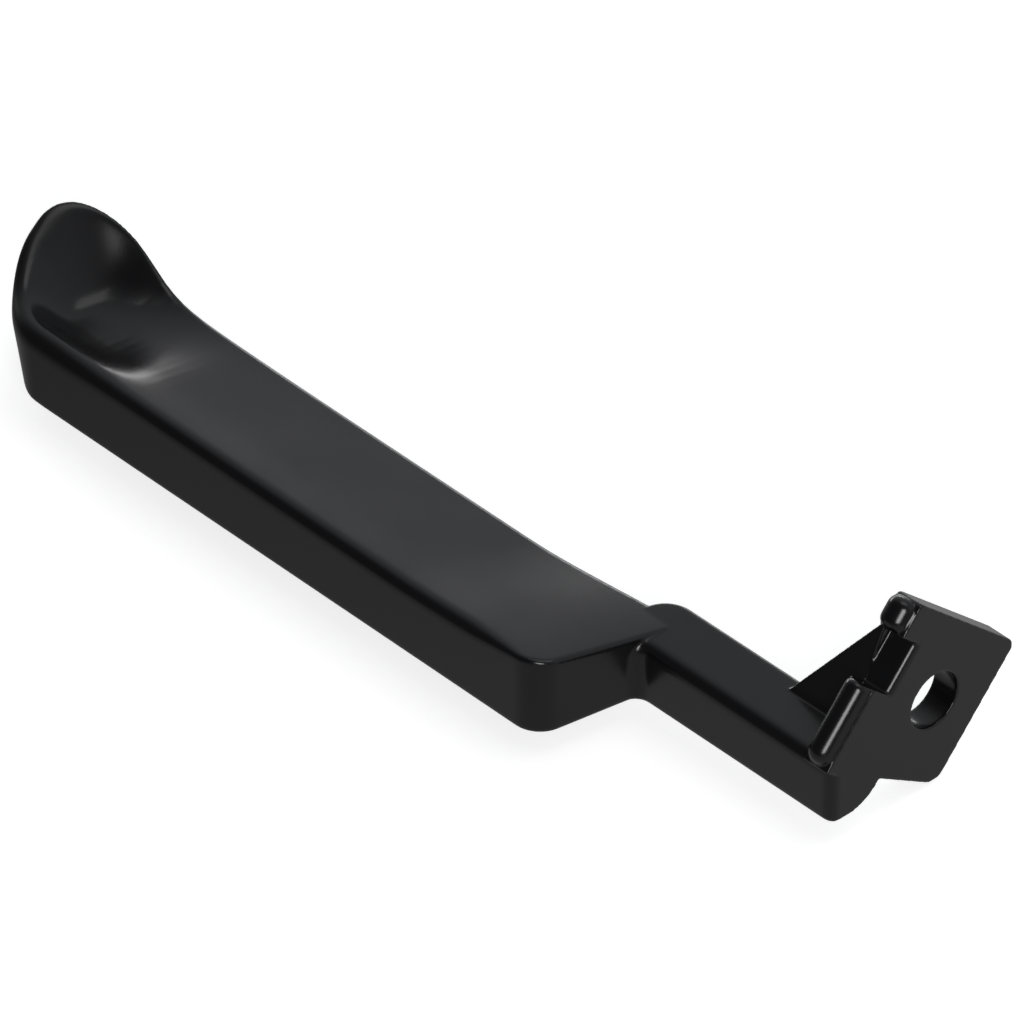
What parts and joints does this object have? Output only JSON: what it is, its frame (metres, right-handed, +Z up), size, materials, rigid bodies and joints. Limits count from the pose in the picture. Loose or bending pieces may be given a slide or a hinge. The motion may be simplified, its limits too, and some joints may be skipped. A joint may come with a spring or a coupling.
{
  "type": "door handle lever",
  "caption": "One-piece satin black interior door handle lever with an upturned finger lip, an offset neck and a notched end plate with a pivot bore.",
  "frame": {"origin": "centre of the pivot bore on the outer face of the end plate", "axes": "+X along the handle from the lip to the end plate, which is the bore's axis; +Y from the front face of the grip to its back; +Z up, the way the lip turns"},
  "size_m": [0.1721, 0.0552, 0.0351],
  "materials": {
    "satin_black": "satin black coat, smooth"
  },
  "bodies": {
    "root": {"handle_lever": "satin_black"}
  },
  "joints": []
}
